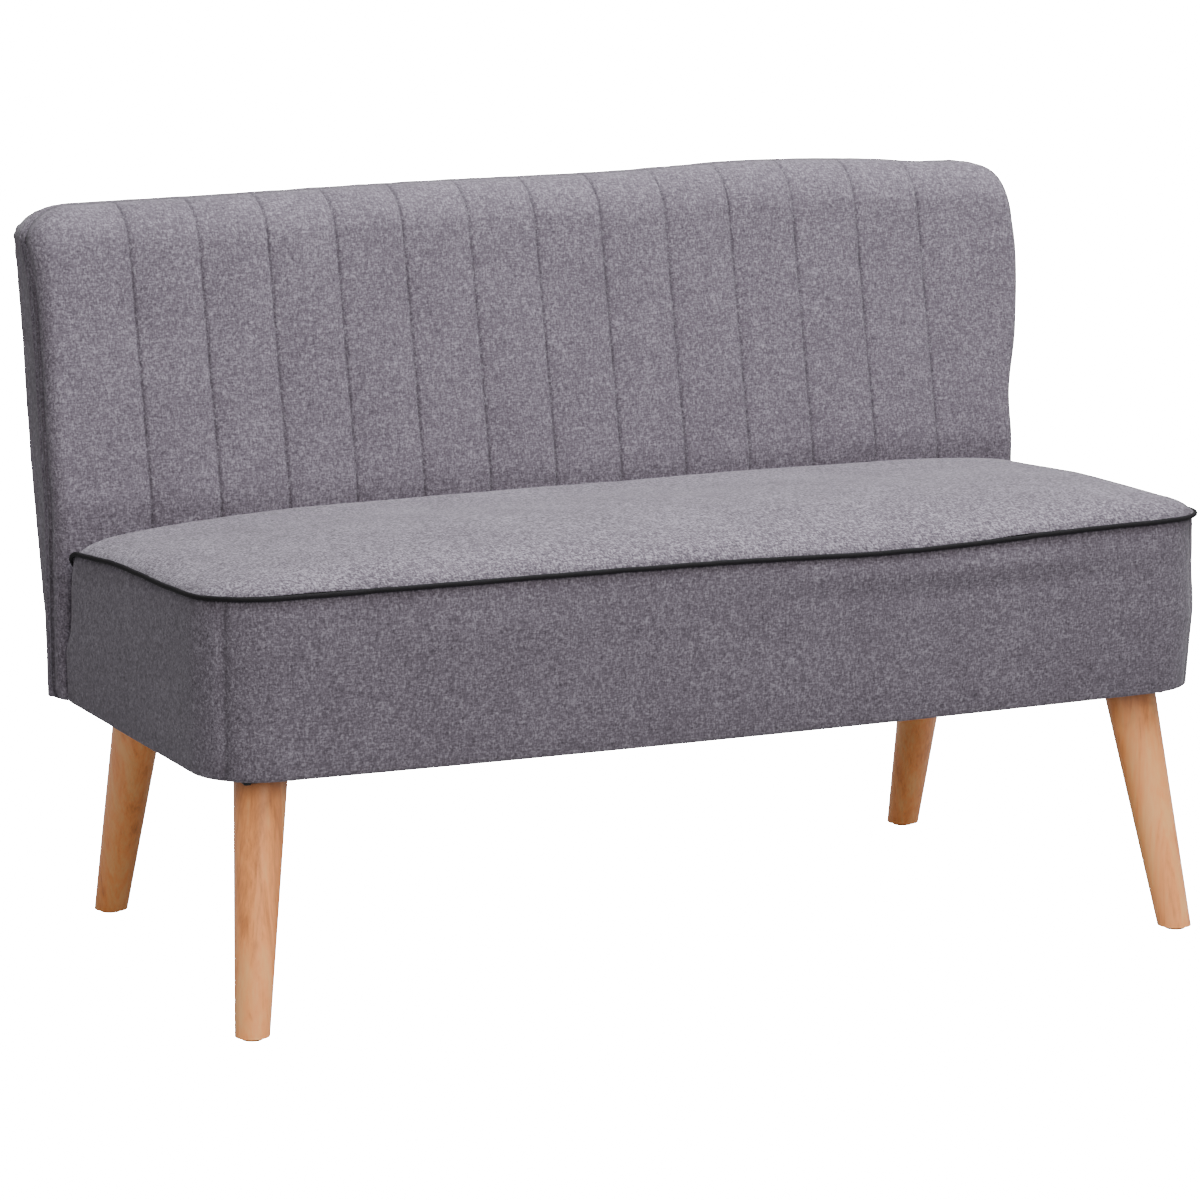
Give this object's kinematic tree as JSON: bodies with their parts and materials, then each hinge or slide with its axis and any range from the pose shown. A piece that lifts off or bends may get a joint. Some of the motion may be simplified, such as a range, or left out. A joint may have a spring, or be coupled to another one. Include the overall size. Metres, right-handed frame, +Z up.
{
  "type": "two-seater sofa",
  "caption": "Armless two-seater sofa with a channel-stitched back, a crowned seat edged with dark piping, and tapered splayed round wooden legs.",
  "frame": {"origin": "middle of the sofa's footprint, on the floor", "axes": "+X along the width to a viewer's right who faces the front, +Y from the seat front to the back, +Z up"},
  "size_m": [1.18, 0.6331, 0.7955],
  "materials": {
    "black_steel": "satin black",
    "dust_cloth": "black non-woven",
    "felt": "grey needled felt",
    "foam": "open-cell foam",
    "frame_wood": "raw sawn",
    "glide_plastic": "matt",
    "leg_wood": "satin clear lacquer",
    "piping_fabric": "black woven welt",
    "plated_steel": "zinc plated",
    "plywood": "raw",
    "spring_steel": "oiled wire",
    "upholstery_fabric": "woven melange grey"
  },
  "bodies": {
    "root": {"back_bottom_rail": "frame_wood", "back_foam": "foam", "back_front_cover": "upholstery_fabric", "back_leg_blocks": "frame_wood", "back_panel": "plywood", "back_rear_cover": "upholstery_fabric", "back_top_rail": "frame_wood", "back_upright_centre": "frame_wood", "back_upright_left": "frame_wood", "back_upright_right": "frame_wood", "corner_blocks": "frame_wood", "dust_cloth": "dust_cloth", "foot_glide_front_left": "glide_plastic", "foot_glide_front_right": "glide_plastic", "foot_glide_rear_left": "glide_plastic", "foot_glide_rear_right": "glide_plastic", "hanger_bolts": "plated_steel", "join_bolts": "plated_steel", "join_nuts": "plated_steel", "join_washers": "plated_steel", "leg_front_left": "leg_wood", "leg_front_right": "leg_wood", "leg_plate_front_left": "black_steel", "leg_plate_front_right": "black_steel", "leg_plate_rear_left": "black_steel", "leg_plate_rear_right": "black_steel", "leg_rear_left": "leg_wood", "leg_rear_right": "leg_wood", "plate_screws": "plated_steel", "seat_boxing": "upholstery_fabric", "seat_centre_rail": "frame_wood", "seat_felt": "felt", "seat_foam": "foam", "seat_front_rail": "frame_wood", "seat_piping": "piping_fabric", "seat_rear_rail": "frame_wood", "seat_side_rail_left": "frame_wood", "seat_side_rail_right": "frame_wood", "seat_springs": "spring_steel", "seat_top_cover": "upholstery_fabric", "spring_clips": "spring_steel"}
  },
  "joints": []
}
